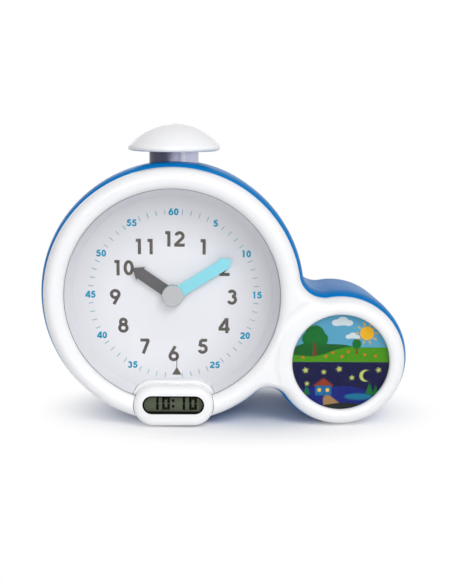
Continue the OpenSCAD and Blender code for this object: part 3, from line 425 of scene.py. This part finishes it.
leafStep, leafCount = 0.004, 8  # millimetres between the leaves of one print that overlap, and how many
joinWithin = 0.001  # millimetres between the ends of a path that count as closed


def activate(*pieces):
    bpy.ops.object.select_all(action="DESELECT")
    for piece in pieces:
        piece.select_set(True)
    bpy.context.view_layer.objects.active = pieces[0]


def standUp(leaves, w, finish):  # from the drawing plane into the dial's plane, as one mesh
    activate(*leaves)
    bpy.ops.object.convert(target="MESH")
    bpy.ops.object.transform_apply(location=True, rotation=True, scale=True)
    if len(leaves) > 1:
        bpy.ops.object.join()
    piece = bpy.context.object
    piece.matrix_world = Matrix.Translation(onFace(0, 0, w)) @ Matrix.Rotation(math.radians(90), 4, "X")
    bpy.ops.object.transform_apply(location=True, rotation=True, scale=True)
    piece.data.materials.clear()
    piece.data.materials.append(finish)
    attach(piece, "clock")
    return piece


def flatShape(name, outlines, low, high, finish, centre=(0, 0), holes=()):
    # closed outlines in millimetres round centre, filled, with their underside at low and face at high
    leaves = []
    for index, outline in enumerate(outlines):         # each a hair over the one before, so they may overlap
        curve = bpy.data.curves.new(name, "CURVE")
        curve.dimensions = "2D"
        curve.fill_mode = "BOTH"
        for edge in [outline, *holes]:
            spline = curve.splines.new("POLY")
            spline.points.add(len(edge) - 1)
            for point, (x, y) in zip(spline.points, edge):
                point.co = ((x + centre[0]) * mm, (y + centre[1]) * mm, 0, 1)
            spline.use_cyclic_u = True
        curve.extrude = (high - low) / 2 * mm
        leaf = bpy.data.objects.new(name, curve)
        leaf.location.z = index * leafStep * mm
        scene.collection.objects.link(leaf)
        leaves.append(leaf)
    return standUp(leaves, (low + high) / 2, finish)


def makePen(wide, thick):  # the flat nib that a stroke is drawn with
    bpy.ops.curve.primitive_bezier_curve_add()
    pen = bpy.context.object
    pen.data.splines.clear()
    nib = pen.data.splines.new("POLY")
    nib.points.add(3)
    for point, (x, y) in zip(nib.points, ((-1, -1), (1, -1), (1, 1), (-1, 1))):
        point.co = (x * wide / 2 * mm, y * thick / 2 * mm, 0, 1)
    nib.use_cyclic_u = True
    pen.data.dimensions = "2D"
    return pen


def strokePath(name, paths, width, low, high, finish, centre=(0, 0)):
    # pen strokes of one width, drawn along open or closed paths
    pen = makePen(width, high - low)
    curve = bpy.data.curves.new(name, "CURVE")
    curve.dimensions = "3D"
    curve.twist_mode = "Z_UP"
    curve.bevel_mode = "OBJECT"
    curve.bevel_object = pen
    curve.use_fill_caps = True
    for index, path in enumerate(paths):
        closed = math.dist(path[0], path[-1]) < joinWithin
        shown = path[:-1] if closed else path
        spline = curve.splines.new("POLY")
        spline.points.add(len(shown) - 1)
        for point, (x, y) in zip(spline.points, shown):
            point.co = ((x + centre[0]) * mm, (y + centre[1]) * mm, (index % leafCount) * leafStep * mm, 1)
        spline.use_cyclic_u = closed
    piece = bpy.data.objects.new(name, curve)
    scene.collection.objects.link(piece)
    made = standUp([piece], (low + high) / 2, finish)
    bpy.data.objects.remove(pen)
    return made


def arc(cx, cy, rx, ry, start, end, count=16):
    return [(cx + rx * math.cos(math.radians(start + (end - start) * i / count)),
             cy + ry * math.sin(math.radians(start + (end - start) * i / count))) for i in range(count + 1)]


def oval(cx, cy, rx, ry, sides):
    return arc(cx, cy, rx, ry, 0, 360 - 360 / sides, sides - 1)


def dense(outline, step=0.8):
    points = []
    for (ax, ay), (bx, by) in zip(outline, outline[1:] + outline[:1]):
        count = max(1, int(math.dist((ax, ay), (bx, by)) / step))
        points += [(ax + (bx - ax) * i / count, ay + (by - ay) * i / count) for i in range(count)]
    return points


cellWidth = 0.75  # of a digit 1 high


def digitStrokes(m):  # pen strokes in the digit's cell, where m is half the pen's width
    def bowl(cx, cy, rx, start, end, ry=None):
        return arc(cx, cy, rx, ry or rx, start, end, 24)
    six = [bowl(0.375, m + 0.235, 0.245, 0, 360, 0.235), [(0.148, m + 0.33), (0.47, 1.0)]]
    return {
        "0": [bowl(0.375, 0.5, 0.33 - m, 0, 360, 0.5 - m)],
        "1": [[(0.545 - m, 0), (0.545 - m, 1)], [(0.21, 0.925 - m * 0.2), (0.545 - m, 1 - m)]],
        "2": [bowl(0.375, 1 - m - 0.215, 0.225, 170, -42, 0.215) + [(0.09, m)], [(0.04, m), (0.71, m)]],
        "3": [bowl(0.365, 1 - m - 0.18, 0.19, 160, -90, 0.18),
              bowl(0.365, m + 0.225, 0.235, 90, -160, 0.225)],
        "4": [[(0.56, 0), (0.56, 1)], [(0.535, 0.96), (0.085, 0.29)], [(0.02, 0.27), (0.74, 0.27)]],
        "5": [[(0.66, 1 - m), (0.235, 1 - m)], [(0.262, 1 - m), (0.19, 0.50)],
              bowl(0.365, m + 0.23, 0.24, 135, -160, 0.23)],
        "6": six,
        "7": [[(0.09, 1 - m), (0.66, 1 - m)], [(0.625, 1 - m), (0.27, 0)]],
        "8": [bowl(0.375, 1 - m - 0.175, 0.185, 0, 360, 0.175),
              bowl(0.375, m + 0.225, 0.24, 0, 360, 0.225)],
        "9": [[(cellWidth - x, 1 - y) for x, y in path] for path in six],
    }


def numberPaths(text, height, pen):
    strokes = digitStrokes(pen / height / 2)
    left = -len(text) * cellWidth / 2
    paths = []
    for place, character in enumerate(text):
        for path in strokes[character]:
            paths.append([((left + place * cellWidth + x) * height, (y - 0.5) * height) for x, y in path])
    return paths


dialSet = {  # millimetres, as in the prints below
    "face": -dialSunk, "ink": 0.05, "aside": 0.5,
    "hourHeight": 9.1, "hourPen": 1.85, "hourRing": 34.3, "hourDrop": 1.3,
    "minuteHeight": 4.1, "minutePen": 0.95, "minuteRing": 48.8, "underMark": 30, "underDrop": 4.0,
    "tickLength": 3.0, "tickPen": 0.4, "tickRing": 48.8,
    "markAt": (2.3, -46.3), "markSize": (5.6, 4.2), "markTip": 0.35,
    "lineLength": 6.6, "linePen": 0.45, "lineLap": 0.2,
    "hourColour": (0.115, 0.105, 0.092), "minuteColour": (0.0, 0.30, 0.48), "tickColour": (0.16, 0.41, 0.50),
}


def ringPlace(ring, clockMinutes, drop=0.0):
    angle = math.radians(90 - 6 * clockMinutes)
    return ring * math.cos(angle) + dialSet["aside"], ring * math.sin(angle) - drop


def printNumber(kind, number, ink, place, s):
    pen = s[kind + "Pen"]
    paths = numberPaths(str(number), s[kind + "Height"], pen)
    strokePath(f"{kind}Number{number}", paths, pen, s["face"], s["face"] + s["ink"], ink, place)


def printDial(s):
    low, high = s["face"], s["face"] + s["ink"]
    hourInk, minuteInk, tickInk = [
        plainFinish(kind + "Ink", s[kind + "Colour"], rough=(0.45, 0.55), drift=0.05, grain=2500,
                    specular=0.1) for kind in ("hour", "minute", "tick")]
    for hour in range(1, 13):
        printNumber("hour", hour, hourInk, ringPlace(s["hourRing"], 5 * hour, s["hourDrop"]), s)
    for minute in range(5, 61, 5):
        drop = s["underDrop"] if minute == s["underMark"] else 0
        printNumber("minute", minute, minuteInk, ringPlace(s["minuteRing"], minute, drop), s)
    reach = s["tickLength"] / 2
    ticks = [[ringPlace(s["tickRing"] - reach, minute), ringPlace(s["tickRing"] + reach, minute)]
             for minute in range(60) if minute % 5]
    strokePath("minuteTicks", ticks, s["tickPen"], low, high, tickInk)
    x, y = s["markAt"]
    wide, tall = s["markSize"]
    tip, top = s["markTip"], y + tall / 2
    mark = [(-wide / 2, -tall / 2), (wide / 2, -tall / 2), (tip, tall / 2), (-tip, tall / 2)]
    flatShape("indexMark", [mark], low, high, hourInk, s["markAt"])
    line = [(x, top - s["lineLap"]), (x, top + s["lineLength"])]
    strokePath("indexLine", [line], s["linePen"], low, high, hourInk)


printDial(dialSet)
print("dial printed")

# a thin dark ring painted where the window's rim meets the bezel, standing in for the shadow in the gap there
lensShadowLine = {"radius": 62.85, "width": 0.26, "thick": 0.03, "sides": 240, "colour": (0.19, 0.185, 0.19)}


def drawLensEdge(s):  # a painted shadow: the dark line of shade where the window meets the bezel
    ink = plainFinish("lensEdgeShadowPaint", s["colour"], rough=(0.4, 0.5), drift=0.1, grain=1500, specular=0.1)
    front = forward(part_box("dial_lens")[0])
    outer, inner = [oval(0, 0, r, r, s["sides"]) for r in (s["radius"], s["radius"] - s["width"])]
    flatShape("lensEdgePaintedShadow", [outer], front, front + s["thick"], ink, holes=[inner])


drawLensEdge(lensShadowLine)
print("window edged")

lcdSet = {
    "digitHeight": 7.6, "digitWidth": 4.5, "pen": 1.5, "gap": 0.15, "rise": 0.45,
    "places": [-12.3, -5.8, 3.2, 9.95], "text": "1010", "colonAt": 0.65, "dots": (1.75, 0.75),
    "ink": 0.05, "sunk": 0.02, "colour": (0.005, 0.006, 0.004),
    "maskEdge": 0.95, "maskFoot": 1.75, "maskThick": 0.025, "maskStep": 0.3, "flange": 0.8,
}
segmentsOf = {"0": "abcdef", "1": "bc"}


def pill(wide, tall):
    r = tall / 2
    return arc(wide / 2 - r, 0, r, r, -90, 90) + arc(r - wide / 2, 0, r, r, 90, 270)


def segmentPaths(s):
    w, h, end = s["digitWidth"] - s["pen"], s["digitHeight"] - s["pen"], s["pen"] / 2
    gap = s["gap"]
    flat = (end + gap, w - end - gap)
    low, high = (-end, h / 2 - gap), (h / 2 + gap, h + end)
    return {
        "a": [(x, h) for x in flat], "d": [(x, 0) for x in flat],
        "b": [(w, y) for y in high], "c": [(w, y) for y in low],
        "f": [(0, y) for y in high], "e": [(0, y) for y in low],
    }


def showTime(s, ink):
    face = forward(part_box("lcd_panel")[0])
    middle = offDial(podCentre)[1] + s["rise"]
    foot = middle - (s["digitHeight"] - s["pen"]) / 2
    paths = segmentPaths(s)
    drawn = []
    for character, x in zip(s["text"], s["places"]):
        for letter in segmentsOf[character]:
            drawn.append([(x + s["pen"] / 2 + a, foot + b) for a, b in paths[letter]])
    away, half = s["dots"]
    for y in (middle - away, middle + away):
        drawn.append([(s["colonAt"], y - half), (s["colonAt"], y + half)])
    strokePath("displaySegments", drawn, s["pen"], face - s["sunk"], face + s["ink"], ink)


def maskDisplay(s, ink):  # a printed border on the window's own face
    low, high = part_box("lcd_window")
    front = forward(low)
    wide, tall = (high.x - low.x) / mm - 2 * s["flange"], (high.z - low.z) / mm - 2 * s["flange"]
    edge = dense(pill(wide - 2 * s["maskEdge"], tall - 2 * s["maskEdge"]), s["maskStep"])
    inner = [(x, max(y, s["maskFoot"] - tall / 2)) for x, y in edge]
    flatShape("displayMask", [pill(wide, tall)], front, front + s["maskThick"], ink, offDial(podCentre),
              holes=[inner])


segmentInk = plainFinish("segmentInk", lcdSet["colour"], rough=(0.4, 0.5), drift=0.1, grain=2500,
                         specular=0.02)
showTime(lcdSet, segmentInk)
maskDisplay(lcdSet, segmentInk)
print("display shown")

pictureSet = {
    "radius": 29.6, "film": 0.5, "layer": 0.035, "sides": 180, "spotSides": 24, "hillReach": 36,
    "sun": (15.2, 17.0), "sunRadius": 4.1, "rays": 10, "rayFoot": 4.9, "rayTip": 7.4, "rayHalf": 7,
    "colours": {
        "sky": (0.09, 0.34, 0.50), "cloud": (0.60, 0.68, 0.70), "sun": (0.80, 0.42, 0.01),
        "farHill": (0.004, 0.10, 0.014), "nearHill": (0.06, 0.27, 0.002), "trunk": (0.16, 0.04, 0.01),
        "crown": (0.003, 0.14, 0.02), "petal": (0.75, 0.10, 0.01), "line": (0.10, 0.30, 0.01),
        "night": (0.002, 0.003, 0.045), "moon": (0.50, 0.56, 0.13), "nightHill": (0.003, 0.012, 0.17),
        "pond": (0.003, 0.15, 0.27), "road": (0.36, 0.20, 0.08), "house": (0.01, 0.13, 0.30),
        "roof": (0.26, 0.035, 0.01), "pane": (0.75, 0.50, 0.08), "ground": (0.010, 0.015, 0.014),
    },
}


def withinDisc(outline, r):
    kept = []
    for x, y in dense(outline):
        far = math.hypot(x, y)
        kept.append((x * r / far, y * r / far) if far > r else (x, y))
    return kept


def hill(rise, swells, low):  # a rolling skyline from the left edge to the right edge
    reach = pictureSet["hillReach"]
    top = [(x, rise + sum(a * math.sin(math.radians(x * f + p)) for a, f, p in swells))
           for x in range(-reach, reach + 1)]
    return top + [(reach, low), (-reach, low)]


def star(x, y, r, turn=0, notch=0.38):
    points = []
    for i in range(10):
        far, angle = r * (notch if i % 2 else 1), math.radians(turn + 90 + 36 * i)
        points.append((x + far * math.cos(angle), y + far * math.sin(angle)))
    return points


def blob(x, y, rx, ry=None):
    return oval(x, y, rx, ry or rx, pictureSet["spotSides"])


def sunRays(s):
    x, y = s["sun"]
    corners = ((s["rayFoot"], -s["rayHalf"]), (s["rayTip"], 0), (s["rayFoot"], s["rayHalf"]))
    return [[(x + far * math.cos(math.radians(k + aside)), y + far * math.sin(math.radians(k + aside)))
             for far, aside in corners] for k in range(0, 360, 360 // s["rays"])]


def pictureLeaves(s):  # name, ink, outlines and level, from the back to the front
    r = s["radius"]
    return [
        ("daySky", "sky", [arc(0, 0, r, r, 0.6, 179.4, 90)], 0),
        ("nightSky", "night", [arc(0, 0, r, r, 180.6, 359.4, 90)], 0),
        ("sunDisc", "sun", [blob(*s["sun"], s["sunRadius"])] + sunRays(s), 1),
        ("clouds", "cloud", [blob(-2.6, 23.2, 3.0, 2.0), blob(0.8, 24.2, 3.2, 2.6), blob(4.0, 23.1, 2.8, 1.8),
                             blob(4.6, 14.9, 2.0, 1.3), blob(6.9, 15.6, 2.2, 1.8),
                             blob(9.2, 14.8, 1.9, 1.2)], 1),
        ("farHills", "farHill", [hill(8.6, [(3.0, 5.5, 150), (0.8, 14, 10)], 0.3)], 2),
        ("nearHills", "nearHill", [hill(6.2, [(3.0, 4.6, 20), (0.7, 12, 80)], 0.3)], 3),
        ("treeTrunks", "trunk", [[(-16.4, 3), (-14.2, 3), (-14.8, 12), (-15.8, 12)],
                                 [(8.6, 4.6), (10.0, 4.6), (9.7, 9.5), (8.9, 9.5)]], 4),
        ("treeCrowns", "crown", [blob(-15.3, 16.4, 5.6, 5.2), blob(-19.3, 13.6, 3.6), blob(-11.2, 13.5, 3.7),
                                 blob(9.3, 10.6, 2.7, 2.9)], 5),
        ("flowers", "petal", [blob(x, y, 0.75) for x, y in
                              ((-22, 2.6), (-8.6, 3.1), (-4.6, 5.4), (0.8, 3.0), (4.4, 5.9), (14.2, 4.2),
                               (20.5, 3.4))], 5),
        ("moon", "moon", [arc(15, -8.5, 3.6, 3.6, 60, 300, 20) + arc(16.6, -8.5, 3.2, 3.2, 285, 75, 16)], 1),
        ("stars", "moon", [star(-20.4, -5.4, 2.3, 10), star(-9.6, -6.4, 1.9), star(-0.6, -4.6, 2.3, 20),
                           star(7.0, -9.8, 2.0, 5), star(22.6, -5.0, 2.1, 15), star(-19.4, -13.4, 1.8)], 1),
        ("nightHills", "nightHill", [hill(-16.5, [(1.8, 6, 120), (0.7, 13, 0)], -40)], 2),
        ("pond", "pond", [blob(11.0, -21.2, 8.2, 1.9)], 3),
        ("road", "road", [[(-8.5, -20.2), (-6.4, -20.2), (-3.2, -22.5), (1.5, -26.5), (3, -34), (-13, -34),
                           (-9.5, -26), (-9.9, -22.5)]], 3),
        ("houseWalls", "house", [[(-14.5, -20.5), (-4.8, -20.5), (-4.8, -14.5), (-14.5, -14.5)]], 4),
        ("houseRoof", "roof", [[(-15.9, -14.7), (-3.4, -14.7), (-9.65, -9.9)]], 4),
        ("housePanes", "pane", [[(x, -18.3), (x + 1.9, -18.3), (x + 1.9, -16.2), (x, -16.2)]
                                for x in (-13, -8.2)], 5),
        ("nightTrees", "crown", [[(x - a, -20), (x + a, -20), (x, -20 + 3.1 * a)] for x, a in
                                 ((17.5, 2.4), (21.2, 1.9), (-19.5, 2.0))], 4),
        ("nightGround", "ground", [hill(-26.0, [(1.1, 9, 60)], -40)], 5),
    ]


def paintPicture(s):
    r = s["radius"]
    inks = {name: plainFinish(name + "Ink", colour, rough=(0.4, 0.5), drift=0.10, grain=1200, specular=0.03)
            for name, colour in s["colours"].items()}
    low = forward(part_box("picture_disc")[1])
    face = low + s["film"]
    centre = offDial(lobeCentre)
    film = flatShape("pictureFilm", [oval(0, 0, r, r, s["sides"])], low, face, inks["line"], centre)
    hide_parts("picture_disc")
    for name, ink, outlines, level in pictureLeaves(s):
        start = face + level * s["layer"]
        leaf = flatShape(name, [withinDisc(outline, r) for outline in outlines], start, start + s["layer"],
                         inks[ink], centre)


paintPicture(pictureSet)
print("picture painted")

springSet = {"radius": 8.0, "wire": 0.5, "turns": 6, "steps": 24, "rounding": 2, "press": "snooze_press",
             "travel": 2.5}


def coilSpring(s):  # the return spring
    low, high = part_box("snooze_spring")
    axis = (low + high) / 2
    foot, head = low.z + s["wire"] * mm, high.z - s["wire"] * mm
    count = s["turns"] * s["steps"]
    curve = bpy.data.curves.new("returnSpring", "CURVE")
    curve.dimensions = "3D"
    curve.bevel_depth = s["wire"] * mm
    curve.bevel_resolution = s["rounding"]
    curve.use_fill_caps = True
    spline = curve.splines.new("POLY")
    spline.points.add(count)
    for index, point in enumerate(spline.points):
        angle = 2 * math.pi * index / s["steps"]
        point.co = (axis.x + s["radius"] * mm * math.cos(angle), axis.y + s["radius"] * mm * math.sin(angle),
                    foot + (head - foot) * index / count, 1)
    spring = bpy.data.objects.new("returnSpring", curve)
    scene.collection.objects.link(spring)
    activate(spring)
    bpy.ops.object.convert(target="MESH")
    spring = bpy.context.object
    spring.data.materials.clear()
    spring.data.materials.append(finishes["spring_steel"])
    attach(spring, "clock")
    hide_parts("snooze_spring")
    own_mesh(spring)


coilSpring(springSet)
print("spring wound")
